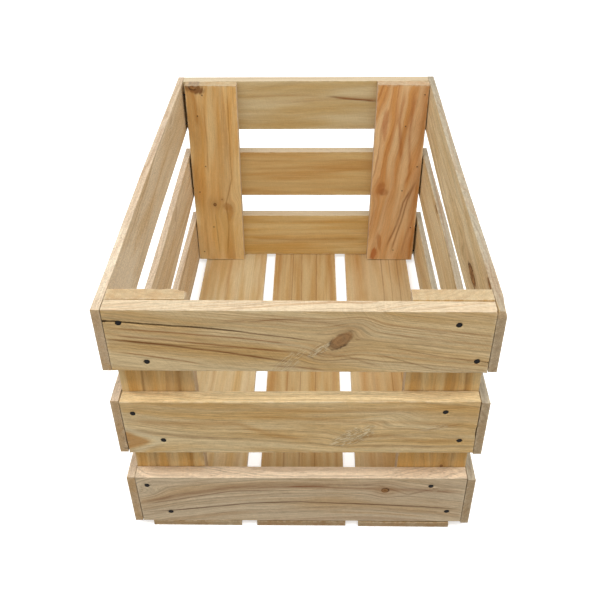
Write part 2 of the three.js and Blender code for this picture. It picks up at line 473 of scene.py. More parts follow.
class Shader:
    """Adds nodes to one new material. Its methods take sockets or plain numbers and give back sockets."""

    def __init__(self, name):
        self.material = bpy.data.materials.new(name)
        self.material.use_nodes = True
        self.tree = self.material.node_tree
        self.tree.nodes.clear()

    def node(self, kind, inputs=(), **fields):
        """A new node with its fields set, and a value or a socket for each input's number or name."""
        node = self.tree.nodes.new(f"ShaderNode{kind}")
        for field, value in fields.items():
            setattr(node, field, value)
        for key, value in dict(inputs).items():
            if isinstance(value, bpy.types.NodeSocket):
                self.tree.links.new(value, node.inputs[key])
            else:
                node.inputs[key].default_value = value
        return node

    def attribute(self, name, output="Fac"):
        return self.node("Attribute", attribute_name=name).outputs[output]

    def math(self, operation, *values):
        return self.node("Math", enumerate(values), operation=operation).outputs[0]

    def total(self, *values):
        result = values[0]
        for value in values[1:]:
            result = self.math("ADD", result, value)
        return result

    def product(self, *values):
        result = values[0]
        for value in values[1:]:
            result = self.math("MULTIPLY", result, value)
        return result

    def vector(self, operation, a, b):
        return self.node("VectorMath", {0: a, 1: b}, operation=operation).outputs[0]

    def combine(self, x, y, z):
        return self.node("CombineXYZ", {0: x, 1: y, 2: z}).outputs[0]

    def split(self, vector):
        return tuple(self.node("SeparateXYZ", {0: vector}).outputs)

    def smooth(self, value, low, high, start=0.0, stop=1.0):
        """A smooth change from start to stop while value goes from low to high."""
        inputs = {"Value": value, "From Min": low, "From Max": high, "To Min": start, "To Max": stop}
        return self.node("MapRange", inputs, interpolation_type="SMOOTHSTEP").outputs[0]

    def path(self, value, course):
        """A bent line: the second number of a course's places, at the value of their first number."""
        result = course[0][1]
        for (start, low), (stop, high) in zip(course, course[1:]):
            inputs = {"Value": value, "From Min": start, "From Max": stop, "To Max": high - low}
            result = self.total(result, self.node("MapRange", inputs).outputs[0])
        return result

    def bell(self, value, width):
        """1 where the value is 0, falling smoothly to 0 on both sides."""
        scaled = self.math("DIVIDE", value, width)
        return self.math("POWER", math.e, self.product(scaled, scaled, -1.0))

    def turned(self, a, b, angle):
        """Two coordinates seen from axes turned by an angle in degrees."""
        cos, sin = math.cos(math.radians(angle)), math.sin(math.radians(angle))
        along = self.total(self.product(a, cos), self.product(b, sin))
        across = self.total(self.product(a, -sin), self.product(b, cos))
        return along, across

    def noise(self, place, size, detail=2.0, roughness=0.5):
        """Noise from 0 to 1 whose features have the given size, in the units of place, in each direction."""
        scaled = self.vector("DIVIDE", place, size)
        inputs = {"Vector": scaled, "Scale": 1.0, "Detail": detail, "Roughness": roughness}
        return self.node("TexNoise", inputs).outputs["Fac"]

    def line_noise(self, value, size, detail=1.0):
        """Noise from 0 to 1 along a single value."""
        inputs = {"W": self.math("DIVIDE", value, size), "Scale": 1.0, "Detail": detail}
        return self.node("TexNoise", inputs, noise_dimensions="1D").outputs["Fac"]

    def centred(self, value, amount):
        """Turns noise from 0 to 1 into a shift of up to half the amount either way."""
        return self.product(self.math("SUBTRACT", value, 0.5), amount)

    def mix(self, factor, a, b):
        """A colour between two others. The node numbers its colour inputs 6 and 7 and its colour output 2."""
        return self.node("Mix", {0: factor, 6: a, 7: b}, data_type="RGBA").outputs[2]

    def shaded(self, colour, amount):
        """A colour made lighter or darker by a changing amount, where 1 leaves it as it is."""
        return self.node("VectorMath", {0: colour, "Scale": amount}, operation="SCALE").outputs[0]

    def finish(self, colour, roughness, height, specular, metallic=0.0):
        """Ends the material with a Principled shader and a bump whose height is in millimetres."""
        bump = self.node("Bump", {"Distance": MM, "Height": height})
        shader = self.node("BsdfPrincipled", {
            "Base Color": colour,
            "Roughness": roughness,
            "Specular IOR Level": specular,
            "Metallic": metallic,
            "Normal": bump.outputs[0],
        })
        self.node("OutputMaterial", {"Surface": shader.outputs[0]})
        return self.material


def colour(code):
    """A linear colour from a six-digit sRGB code."""
    channels = [int(code[i:i + 2], 16) / 255 for i in (0, 2, 4)]
    return (*[c / 12.92 if c <= 0.04045 else ((c + 0.055) / 1.055) ** 2.4 for c in channels], 1.0)


# ---------------------------------------------------------------- how a board was cut, and its faults

@dataclass
class Knot:
    """A branch's section on the face: its middle, half width, length for its width, and tilt in degrees."""

    along: float
    across: float
    radius: float
    stretch: float = 1.5
    tilt: float = 0.0
    bend: float = 0.9  # how strongly the grain flows round it
    spread: float = 2.6  # how far that reaches, in radii
    dark: float = 0.8
    tone: str = "a87c4c"


@dataclass
class Streak:
    """A darker band or line through (along, across) places."""

    course: tuple
    width: float = 1.0
    strength: float = 0.6
    tone: str = "7d4f28"
    wobble: float = 1.0


@dataclass
class Patch:
    """An area of another tone: an oval, or a diamond if it is pointed, perhaps with a pale line round it."""

    place: tuple
    size: tuple
    turn: float = 0.0
    tone: str = "b5813f"
    strength: float = 0.6
    pointed: bool = False
    halo: float = 0.0


@dataclass
class Tear:
    """A patch where the saw tore the grain up into short pale strokes."""

    place: tuple
    size: tuple
    turn: float
    strength: float = 0.8


@dataclass
class Figure:
    """How one board was cut from its tree, what it looks like and where it is damaged."""

    pith: tuple = (60.0, -50.0)  # the tree's centre, across and through from the board's middle
    slope: tuple = (0.0, 0.03)  # how far the grain moves across and through for each mm along
    bow: float = 0.0  # how far the grain bends across in the first 100 mm from the middle
    rings: float = 3.6  # mm between growth rings
    contrast: float = 0.5
    wander: tuple = (7.0, 1.1)  # how far slow waves and small ripples push the grain
    band: float = 24.0  # width of the bands of pale and warm wood
    pale: str = "d8be90"
    warm: str = "c9a46a"
    dark: str = "9c6a38"
    edge: str = "d0bfa4"  # the narrow edges
    end: str = "c79f78"  # the sawn ends
    texture: float = 1.0  # how strong the fine lines along the grain are
    fuzz: float = 0.12  # how speckled the sawing left the faces
    saw: float = 0.5  # how deep the saw's strokes are
    saw_angle: float = 78.0  # of those strokes from the board's length, in degrees
    knots: tuple = ()
    streaks: tuple = ()
    patches: tuple = ()
    tears: tuple = ()
    cracks: tuple = ()
    chips: tuple = ()


AMBER = "b07a35"
BROWN = "7a4b22"
CHESTNUT = "8d5726"
COCOA = "74491f"
COPPER = "a3591f"
HAIRLINE = "85562c"
HONEY = "a8743c"
OCHRE = "94622f"
OLIVE = "8a5a24"
RUSSET = "8f4f20"
RUST = "7a3f1f"
STRAW = "b0905c"
TAN = "8a5c30"
UMBER = "7a5030"

BACK_SLAT = dict(wander=(6, 1.1), contrast=0.2, texture=0.35)
SIDE_SLAT = dict(rings=3.2, contrast=0.35, saw=1.0, saw_angle=85)
LEFT_SLAT = dict(
    pale="dfcdae", warm="d2b78d", edge="ccb59c", end="e8b270", texture=0.6, fuzz=0.65, **SIDE_SLAT)
RIGHT_SLAT = dict(
    pale="dfcda7", warm="d1b88a", edge="988f81", texture=0.9, fuzz=0.4, **SIDE_SLAT)
POST = dict(saw=0.25, texture=0.5, fuzz=0.12, end="dcc8aa")
GOLDEN_POST = dict(rings=5.0, contrast=0.4, pale="e6c890", warm="d6a65f", dark="a5682d", **POST)
FLOOR = dict(
    rings=3.0, contrast=0.22, slope=(0, 0), wander=(3, 0.6), saw=0.6, texture=0.4, dark="9a6636")


def floor_streak(start, stop, width, strength, tone, wobble):
    """A streak from one end of a floor board to the other, given by its places across the board."""
    return Streak(((262, start), (-262, stop)), width, strength, tone, wobble)


FIGURES = {
    "end_slat_front_top": Figure(
        pith=(-70, -80), slope=(-0.13, 0.02), rings=3.0, contrast=0.6, wander=(4, 0.9), band=16,
        saw=0.9, saw_angle=55, fuzz=0.15,
        knots=(Knot(37, 2.3, 6.4, 2.1, 43, spread=2.1, dark=0.75, tone="9f7246"),),
        streaks=(
            Streak(((-168, 22.3), (-84, 15), (-45, 10.5), (-20, 7), (24, 0)), 0.7, 0.8, "6b4322", 0.4),
            Streak(((-166, 14.8), (-116, 10.5), (-57, 5.2), (2, -3)), 0.8, 0.8, CHESTNUT, 0.5),
            Streak(((-167, 6.9), (-117, 1.5), (-58, -5), (2, -12.8)), 1.0, 0.85, CHESTNUT, 0.5),
            Streak(((-168, 2.4), (-120, -3.6), (-70, -10.8), (2, -24.5)), 1.1, 0.95, BROWN, 0.5),
            Streak(((-167, -11.3), (-137, -16), (-95, -24), (-78, -28.5)), 0.9, 0.8, "94602c", 0.5),
            Streak(((-75, 22), (-30, 25), (20, 22), (60, 14)), 2.2, 0.35, TAN),
            Streak(((-42, 22), (-20, 25), (6, 25)), 1.0, 0.6, TAN, 0.6),
            Streak(((72, -3), (110, -12), (157, -21), (168, -22)), 0.6, 0.5, COCOA, 0.6),
            Streak(((60, 13), (110, 4), (168, -3)), 0.8, 0.4, TAN),
            Streak(((62, 22), (120, 13), (168, 9)), 0.8, 0.35, TAN),
            Streak(((66, -12), (105, -25), (128, -33)), 0.7, 0.5, COCOA),
            Streak(((-28, -27), (6, -30), (26, -33)), 1.1, 0.6, RUST),
            Streak(((-4, -16), (20, -13), (45, -17), (80, -31)), 1.2, 0.45, TAN),
        ),
        tears=(Tear((18, -9), (12, 5), 40, 0.8), Tear((-10, -25), (24, 7), 48, 0.5)),
        cracks=(
            Crack(((-168, 22.3), (-153, 20.8), (-84, 15), (-45, 10.5)), width=2.0, depth=2.6),
            Crack(((168, -22), (159, -21)), width=0.6, depth=1.2),
        ),
        chips=(Chip((168, 34.5, 7.5), (3, 3, 4), 1.2),),
    ),
    "end_slat_front_middle": Figure(
        pith=(75, -45), slope=(-0.03, 0.02), rings=5.5, contrast=0.35, wander=(9, 1.6), band=15,
        saw=0.35, pale="dbc192", warm="cfa86b", edge="dfc697",
        texture=1.2, fuzz=0.16,
        knots=(Knot(-190, -16, 14, 1.6, 0, 0.8, 2.4, 0.1), Knot(70, 2, 4, 2.5, 25, 0.8, 3.0, 0.0)),
        streaks=(
            Streak(((-166, 9), (-110, 6), (-60, 6), (-30, -8), (15, -19)), 3.5, 0.45, AMBER, 2),
            Streak(((-40, 27), (20, 22), (90, 24), (166, 26)), 2.2, 0.35, AMBER, 2),
            Streak(((-60, 17), (0, 13), (50, 8), (90, 8), (166, 2)), 2.4, 0.35, AMBER, 2),
            Streak(((52, 4), (66, 8), (84, 0), (120, -3), (166, 9)), 1.0, 0.45, OCHRE),
            Streak(((40, -25), (66, -12), (85, -11), (120, -19), (166, -15)), 2.6, 0.4, AMBER),
        ),
        patches=(Patch((-168, -18), (28, 15), 0, "b88343", 0.75, True, 0.6),),
        tears=(Tear((52, -12), (25, 10), 30, 1.0), Tear((128, 0), (15, 4), 18, 0.5)),
        chips=(Chip((168, -6, 7.5), (2.5, 10, 5), 1.0),),
    ),
    "end_slat_front_bottom": Figure(
        pith=(-60, -70), slope=(0.0, 0.03), bow=-7.0, rings=4.2, contrast=0.4, wander=(5, 1.2), band=18,
        pale="cfb998", warm="c3a47a", dark="8f643e", edge="e4cdb0",
        texture=1.2, fuzz=0.16,
        knots=(Knot(86, 15.4, 3.6, 1.2, 8, 0.9, 3.4, 1.0), Knot(-158, 18, 9, 1.4, 20, 0.9, 2.0, 0.0)),
        streaks=(
            Streak(((-168, -5), (-124, 6), (-72, 19), (0, 21), (121, 16), (168, 13)), 3.0, 0.55, "8a5c35", 1),
            Streak(((-168, -9), (-124, 1), (-72, 13.5), (-20, 16)), 0.9, 0.7, UMBER, 0.8),
            Streak(((-165, -21), (-106, -14), (-53, -5.5), (0, -3), (61, -6), (124, -10), (166, -14)),
                   0.9, 0.95, "5f3c20", 0.4),
            Streak(((-14, 21), (6, 22), (30, 22)), 0.9, 0.7, RUST, 0.4),
            Streak(((40, 24), (80, 23), (110, 9), (140, 20), (168, 18)), 1.2, 0.4, UMBER),
            Streak(((20, -19), (90, -22), (140, -28)), 1.6, 0.35, AMBER),
        ),
        tears=(Tear((-156, 18), (13, 9), -20, 0.5), Tear((139, 17), (7, 4), -10, 0.6)),
    ),
    "end_slat_back_top": Figure(
        pith=(40, 70), slope=(0.01, 0.02), rings=3.6, band=20,
        pale="cebc93", warm="bfa26c", **BACK_SLAT,
        streaks=(
            # A dark line where a crack runs that the mesh doesn't cut: painted shade of the crack, with its
            # dirt.
            Streak(((26, 14), (60, 9.5), (106, 5.5)), 1.5, 0.95, "6f3f1c", 0.5),
            Streak(((40, 11), (70, 10), (106, 7.5)), 2.2, 0.4, "9a6433", 0.5),
            Streak(((-92, 12), (-30, 15), (30, 14)), 1.4, 0.3, OCHRE),
        ),
    ),
    "end_slat_back_middle": Figure(
        pith=(-60, 60), rings=5.0, band=14,
        pale="d3b67e", warm="c69d60", **BACK_SLAT,
        streaks=(Streak(((-95, 8), (0, 11), (95, 7)), 3.0, 0.35, AMBER, 2),),
    ),
    "end_slat_back_bottom": Figure(
        pith=(30, 60), slope=(0.02, 0.0), rings=5.0, band=12,
        pale="dec48c", warm="d1a963", **BACK_SLAT,
        streaks=(
            Streak(((-95, -4), (-20, -8), (95, -6)), 3.2, 0.5, AMBER, 2),
            Streak(((-95, 26), (0, 24), (95, 26)), 2.6, 0.35, AMBER, 2),
        ),
    ),
    "corner_post_back_left": Figure(
        pith=(-10, 55), slope=(0.03, 0.02), wander=(5, 1.2), band=14, **GOLDEN_POST,
        knots=(
            Knot(140, -23, 5.0, 1.3, 80, 0.7, 2.2, 1.0),
            Knot(-43, -5, 2.2, 1.2, 0, 0.9, 4.0, 1.0),
            Knot(-34, 6, 1.0, 1.2, 0, 0.8, 3.0, 0.8),
            Knot(-52, 18, 7, 1.5, 30, 0.9, 2.0, 0.0),
        ),
        streaks=(
            Streak(((125, -12), (60, -10), (0, -12)), 1.4, 0.55, AMBER),
            Streak(((138, -25), (110, -23), (80, -21)), 3.2, 0.65, AMBER, 2),
            Streak(((140, 22), (60, 22), (0, 22), (-40, 12), (-80, 14), (-140, 9)), 1.2, 0.55, "94601f"),
            Streak(((140, 16), (20, 17)), 2.8, 0.35, AMBER, 2),
            Streak(((-60, -22), (-140, -20)), 1.8, 0.4, AMBER),
            Streak(((-50, -6), (-140, -2)), 0.8, 0.5, OCHRE),
        ),
        patches=(
            Patch((136, -21), (8, 15), 15, "63391a", 0.85),
            Patch((-46, 13), (9, 8), -30, "a2651f", 0.5),
            Patch((-60, 17), (15, 5), 10, "ab7028", 0.5),
            Patch((-90, 8), (50, 24), 0, "e0b35c", 0.3),
        ),
    ),
    "corner_post_back_right": Figure(
        pith=(12, 40), slope=(0.12, 0.03), wander=(11, 2.4), band=11, rings=6.5, contrast=0.55,
        pale="e4c08f", warm="d0985a", dark="a85a20", **POST,
        knots=(Knot(-17, -20, 7.5, 1.2, 10, 0.9, 2.4, 0.0), Knot(88, -21, 6, 2.2, 0, 0.8, 2.2, 0.0)),
        streaks=(
            Streak(((140, 4), (90, -2), (60, 2), (20, 6)), 2.6, 0.6, COPPER, 2),
            Streak(((140, 16), (70, 14), (10, 19), (-20, 10)), 2.2, 0.5, COPPER, 2),
            Streak(((-5, 28), (-40, 14), (-80, 6), (-125, -8)), 1.8, 0.75, RUSSET, 2),
            Streak(((5, 32), (-35, 20), (-80, 11), (-135, 0)), 1.6, 0.7, RUSSET, 2),
            Streak(((-50, 33), (-100, 22), (-140, 16)), 2.0, 0.45, COPPER, 1.5),
        ),
        patches=(
            Patch((-16, -21), (14, 7), 10, "a8622c", 0.6),
            Patch((-22, -17), (7, 9), 0, "99552a", 0.4),
            Patch((86, -22), (30, 5), 0, "b0693a", 0.5),
            Patch((-130, -25), (12, 6), 12, "b55f1c", 0.7),
            Patch((-108, -18), (22, 4), -8, "b06a2a", 0.5),
        ),
    ),
    "corner_post_front_left": Figure(
        pith=(20, 50), wander=(5, 1.0), band=12, **GOLDEN_POST,
        streaks=(
            Streak(((-140, 22), (140, 20)), 2.5, 0.55, OLIVE, 2),
            Streak(((-140, -16), (140, -12)), 1.4, 0.5, OLIVE, 1.5),
        ),
        chips=(Chip((141.8, 33, 5), (5, 9, 9), 2.0), Chip((141.8, 12, 7.5), (3, 6, 5), 0.7)),
    ),
    "corner_post_front_right": Figure(
        pith=(-30, 45), wander=(6, 1.2), band=12, **GOLDEN_POST,
        knots=(Knot(-70, 10, 1.6, 1.2, 0, 0.8, 3.0, 1.0),),
        streaks=(Streak(((-140, 18), (140, 24)), 2.2, 0.55, OLIVE, 2),),
        chips=(Chip((141.8, -20, -7.5), (3, 8, 5), 0.8),),
    ),
    "side_slat_left_top": Figure(
        pith=(80, 40), slope=(0.02, 0.02), wander=(9, 1.6), band=20, **LEFT_SLAT,
        knots=(Knot(137, 31, 8, 1.5, -35, 0.8, 2.2, 0.1),),
        streaks=(Streak(((150, 34), (128, 18), (110, 4)), 2.0, 0.35, "a07a4c"),),
        patches=(
            # Painted light and shade: a pale patch over the front end and a darker one over the back end make
            # this slat lighter towards the front, as light falling on it would.
            Patch((-200, 0), (110, 50), 0, "efe4cb", 0.5),
            Patch((190, 0), (90, 50), 0, "bfa67c", 0.3),
        ),
    ),
    "side_slat_left_middle": Figure(
        pith=(-60, 50), slope=(-0.04, 0.02), wander=(9, 1.4), band=16, **LEFT_SLAT,
        knots=(Knot(95, 22, 5, 2.4, 20, 0.9, 2.6, 0.3),),
        streaks=(Streak(((200, 20), (95, 12), (0, -4), (-90, -10)), 2.0, 0.4, "b08a5c", 3),),
        cracks=(Crack(((-262, -30), (-250, -29)), width=0.8, depth=1.5),),
        chips=(Chip((-262, -20, 4), (4, 7, 6), 0.8),),
    ),
    "side_slat_left_bottom": Figure(pith=(50, 60), band=18, **LEFT_SLAT),
    "side_slat_right_top": Figure(
        pith=(-70, 45), slope=(0.05, 0.02), wander=(9, 1.3), band=22, **RIGHT_SLAT,
        knots=(
            Knot(-153, -6, 5.8, 3.5, 0, 0.9, 2.2, 1.0),
            Knot(-218, 31, 2.2, 4.5, 0, 0.8, 3.0, 1.0),
            Knot(-92, -10, 7, 1.6, 25, 0.95, 2.2, 0.0),
        ),
        streaks=(
            Streak(((-60, -2), (-86, -4), (-95, -14), (-104, -12)), 1.0, 0.5, "9a7644", 0.6),
            Streak(((250, -2), (140, 2), (20, 8), (-60, 18), (-120, 30)), 1.4, 0.35, STRAW, 3),
            Streak(((250, -18), (60, -8), (-40, 4)), 1.0, 0.35, STRAW, 2),
        ),
        chips=(Chip((-262, 34.5, 0), (26, 8, 10), 2.4),),
    ),
    "side_slat_right_middle": Figure(
        pith=(60, 55), wander=(8, 1.3), band=20, **RIGHT_SLAT,
        knots=(Knot(94, 30, 2.0, 5.0, 0, 0.9, 3.0, 0.9),),
    ),
    "side_slat_right_bottom": Figure(pith=(-50, 60), band=18, **RIGHT_SLAT),
    "floor_board_left": Figure(
        pith=(-25, -60), band=16, pale="d8c59c", warm="c9a771", **FLOOR,
        streaks=(
            Streak(((262, -8), (60, -6), (-262, -12)), 2.4, 0.35, AMBER, 3),
            floor_streak(40, 36, 2.0, 0.35, HONEY, 2),
        ),
    ),
    "floor_board_middle": Figure(
        pith=(15, -50), band=12, pale="cab081", warm="bc965e", **FLOOR,
        streaks=(
            floor_streak(-40, -40, 3.5, 0.45, HONEY, 3),
            floor_streak(38, 40, 3.0, 0.4, HONEY, 3),
            floor_streak(18, 14, 0.7, 0.6, HAIRLINE, 0.8),
            floor_streak(-5, -3, 0.7, 0.55, HAIRLINE, 0.8),
            floor_streak(-18, -22, 0.7, 0.5, HAIRLINE, 0.8),
        ),
    ),
    "floor_board_right": Figure(
        pith=(-5, -60), band=16, pale="d0b78b", warm="c19b64", **FLOOR,
        streaks=(
            floor_streak(-30, -28, 5.0, 0.4, "b37d3e", 3),
            floor_streak(8, 4, 0.7, 0.6, HAIRLINE, 0.8),
            floor_streak(20, 17, 0.7, 0.5, HAIRLINE, 0.8),
            floor_streak(32, 30, 0.8, 0.5, HAIRLINE, 0.8),
        ),
    ),
}


# ---------------------------------------------------------------- pine

def oval_distance(shader, along, across, place, size, turn, pointed=False):
    """How far a place is from an oval's or a diamond's middle: 1 is at its outline."""
    du = shader.math("SUBTRACT", along, place[0])
    dv = shader.math("SUBTRACT", across, place[1])
    lengthwise, sideways = shader.turned(du, dv, turn)
    a = shader.math("ABSOLUTE", shader.math("DIVIDE", lengthwise, size[0]))
    b = shader.math("ABSOLUTE", shader.math("DIVIDE", sideways, size[1]))
    if pointed:
        return shader.total(a, b)
    return shader.math("SQRT", shader.total(shader.product(a, a), shader.product(b, b)))


class Grain:
    """The sockets of one board's material that say where a place is in the wood and how its grain runs."""

    def __init__(self, shader, figure, seed):
        rng = random.Random(seed)
        shift = [rng.uniform(-4000, 4000) for _ in range(3)]
        place = shader.attribute("wood_mm", "Vector")
        self.spot = shader.vector("ADD", place, shift)
        self.along, self.across, self.through = shader.split(place)

        # The grain slopes, bows, drifts slowly, ripples a little, and parts round each knot.
        slow = shader.centred(shader.noise(self.spot, (170, 60, 60), 1.5), figure.wander[0] * 2)
        quick = shader.centred(shader.noise(self.spot, (28, 9, 9), 2.0), figure.wander[1] * 2)
        bowed = shader.product(self.along, self.along, -figure.bow / 100**2)
        bent = shader.total(self.across, slow, quick, bowed, shader.product(self.along, -figure.slope[0]))
        self.knots = []
        for knot in figure.knots:
            middle = (knot.along, knot.across)
            size = (knot.radius * knot.stretch, knot.radius)
            distance = oval_distance(shader, self.along, self.across, middle, size, knot.tilt)
            near = shader.bell(distance, knot.spread)
            above = shader.math("SUBTRACT", self.across, knot.across)
            bent = shader.math("SUBTRACT", bent, shader.product(above, near, knot.bend))
            self.knots.append((knot, distance, near))
        self.flow = shader.vector("ADD", shader.combine(self.along, bent, self.through), shift)

        # Distance from the tree's centre.
        side = shader.math("SUBTRACT", bent, figure.pith[0])
        deep_wave = shader.noise(shader.vector("ADD", self.spot, (900, 0, 0)), (220, 90, 90), 1.0)
        deep = shader.total(
            self.through, -figure.pith[1], shader.product(self.along, -figure.slope[1]),
            shader.centred(deep_wave, figure.wander[0]),
        )
        radius = shader.math("SQRT", shader.total(shader.product(side, side), shader.product(deep, deep)))
        uneven = shader.centred(shader.line_noise(radius, figure.rings * 4), figure.rings * 5)
        self.radius = shader.total(radius, uneven)


def late_wood(shader, grain, figure):
    """The dark part of each growth ring, which comes on slowly and ends sharply."""
    turns = shader.math("DIVIDE", grain.radius, figure.rings)
    phase = shader.math("FRACT", turns)
    late = shader.product(shader.smooth(phase, 0.35, 0.9), shader.smooth(phase, 0.93, 1.0, 1.0, 0.0))
    strength = shader.smooth(shader.line_noise(shader.math("FLOOR", turns), 0.37), 0.3, 0.7, 0.15, 1.0)
    patchy = shader.smooth(shader.noise(grain.flow, (90, 14, 14), 2.0), 0.3, 0.62, 0.35, 1.0)
    return shader.product(late, strength, patchy, figure.contrast)


def clear_wood(shader, grain, figure, late, fibre):
    """Bands of pale and warm wood, growth rings, and fine lines along the grain."""
    bands = shader.noise(grain.flow, (160, figure.band, figure.band), 2.5)
    wood = shader.mix(shader.smooth(bands, 0.32, 0.7), colour(figure.pale), colour(figure.warm))
    wood = shader.mix(shader.product(shader.attribute("sawn_edge"), 0.75), wood, colour(figure.edge))
    wood = shader.mix(late, wood, colour(figure.dark))
    hairlines = shader.smooth(shader.line_noise(grain.radius, 1.5, 2.0), 0.45, 0.7)
    streaky = shader.smooth(shader.noise(grain.flow, (130, 2.4, 2.4), 3.0, 0.6), 0.32, 0.68)
    light = shader.total(
        1.0 + 0.24 * figure.texture,
        shader.product(fibre, -0.23 * figure.texture),
        shader.product(streaky, -0.16 * figure.texture),
        shader.product(hairlines, -0.16 * figure.texture),
    )
    wood = shader.shaded(wood, light)
    threads = shader.smooth(shader.noise(grain.flow, (60, 0.9, 0.9), 2.0), 0.62, 0.72)
    dashes = shader.smooth(shader.noise(grain.flow, (10, 0.8, 0.8), 1.0), 0.7, 0.78)
    wood = shader.mix(shader.product(threads, 0.4 * figure.texture), wood, colour("8a5d31"))
    return shader.mix(shader.product(dashes, 0.35 * figure.texture), wood, colour("7d5228"))


def add_streak(shader, grain, wood, streak):
    course = sorted(streak.course)
    first, last = course[0][0], course[-1][0]
    wave = shader.centred(shader.noise(grain.spot, (40, 400, 400)), streak.wobble * 2)
    centre = shader.path(grain.along, course)
    away = shader.total(shader.math("SUBTRACT", grain.across, centre), wave)
    fade = min(25.0, (last - first) / 4)
    window = shader.product(
        shader.smooth(grain.along, first - 2, first + fade),
        shader.smooth(grain.along, last - fade, last + 2, 1.0, 0.0),
    )
    broken = shader.smooth(shader.noise(grain.flow, (30, 1.5, 1.5), 2.0), 0.3, 0.6, 0.6, 1.0)
    mask = shader.product(shader.bell(away, streak.width), window, broken, streak.strength)
    return shader.mix(mask, wood, colour(streak.tone))


def add_patch(shader, grain, wood, patch):
    distance = oval_distance(
        shader, grain.along, grain.across, patch.place, patch.size, patch.turn, patch.pointed)
    raggedness = 0.5 if patch.pointed else 1.2
    ragged = shader.total(distance, shader.centred(shader.noise(grain.flow, (20, 3, 3), 3.0), raggedness))
    inside = shader.smooth(ragged, 0.7 if patch.pointed else 0.5, 1.05, patch.strength, 0.0)
    wood = shader.mix(inside, wood, colour(patch.tone))
    rim = shader.product(shader.bell(shader.math("SUBTRACT", ragged, 1.25), 0.22), patch.halo)
    return shader.mix(rim, wood, colour("e2d0a8"))


def add_knot(shader, grain, wood, fibre, knot, distance, near):
    """Darker wood round a knot, its own rings, and a dark line along part of its edge."""
    wood = shader.mix(shader.product(near, 0.4 * knot.dark), wood, colour("9a6a36"))
    uneven = shader.centred(shader.noise(grain.spot, (2.5, 1.5, 2.5), 2.0), 0.45)
    ragged = shader.total(distance, uneven)
    heart = shader.smooth(ragged, 0.75, 1.1, knot.dark, 0.0)
    rings = shader.smooth(shader.line_noise(ragged, 0.16, 2.0), 0.35, 0.65)
    tone = shader.mix(shader.product(rings, knot.dark), colour(knot.tone), colour("70461f"))
    tone = shader.shaded(tone, shader.total(0.75, shader.product(fibre, 0.45)))
    wood = shader.mix(heart, wood, tone)
    one_sided = shader.smooth(shader.noise(grain.spot, (12, 8, 12), 1.0), 0.35, 0.55)
    rim = shader.product(shader.bell(shader.math("SUBTRACT", ragged, 0.95), 0.13), one_sided, knot.dark)
    return shader.mix(rim, wood, colour("47290f"))


def add_tear(shader, grain, wood, height, tear):
    """Short raised fibres, pale, with painted shadow in the gaps between them, over a patch of the face."""
    distance = oval_distance(shader, grain.along, grain.across, tear.place, tear.size, tear.turn)
    ragged = shader.total(distance, shader.centred(shader.noise(grain.spot, (9, 5, 9), 2.0), 0.9))
    inside = shader.smooth(ragged, 0.7, 1.2, tear.strength, 0.0)
    lengthwise, sideways = shader.turned(grain.along, grain.across, tear.turn)
    strokes = shader.noise(shader.combine(lengthwise, sideways, grain.through), (5.0, 0.85, 3.0), 1.0)
    raised = shader.product(inside, shader.smooth(strokes, 0.48, 0.6))
    # Painted shadow: the wood between the raised fibres is darkened, as the fibres would shade it.
    painted_gap_shadow = shader.product(inside, shader.smooth(strokes, 0.36, 0.48, 1.0, 0.0))
    wood = shader.mix(shader.product(raised, 0.65), wood, colour("e8d6b0"))
    wood = shader.mix(shader.product(painted_gap_shadow, 0.4), wood, colour("8a6238"))
    return wood, shader.total(height, shader.product(raised, 0.5))


def saw_strokes(shader, grain, figure):
    """The saw's strokes across the board, from -0.5 to 0.5, stronger in some places."""
    feed, _ = shader.turned(grain.along, grain.across, 90 - figure.saw_angle)
    feed = shader.total(feed, shader.centred(shader.noise(grain.spot, (40, 40, 40)), 2.0))
    strokes = shader.total(
        shader.product(shader.line_noise(feed, 1.9), 0.6),
        shader.product(shader.line_noise(feed, 0.9), 0.4),
    )
    sawn = shader.smooth(shader.noise(grain.spot, (60, 25, 25), 1.0), 0.35, 0.7, 0.25, 1.0)
    return shader.product(shader.math("SUBTRACT", strokes, 0.5), sawn, figure.saw)


def add_ends_and_edges(shader, grain, figure, wood, pores):
    """Sawn ends are speckled and a little darker, worn arrises pale, and dents and cracks dark with rust,
    dirt and painted shade.
    """
    end_grain = shader.attribute("end_grain")
    blotchy = shader.noise(grain.spot, (5, 5, 5), 3.0, 0.6)
    ends = shader.mix(0.45, wood, colour(figure.end))
    ends = shader.shaded(ends, shader.total(0.34, shader.product(pores, 0.52), shader.product(blotchy, 0.32)))
    wood = shader.mix(end_grain, wood, ends)
    rubbed = shader.smooth(shader.noise(grain.spot, (9, 4, 4), 3.0), 0.42, 0.62)
    wood = shader.mix(shader.product(shader.attribute("arris"), rubbed, 0.35), wood, colour("e9d8b6"))
    # Painted shade with rust and dirt: nail dents and cracks turn near black, as the shade in those hollows
    # would look.
    return shader.mix(shader.product(shader.attribute("stain_and_shade"), 0.88), wood, colour("26150a"))


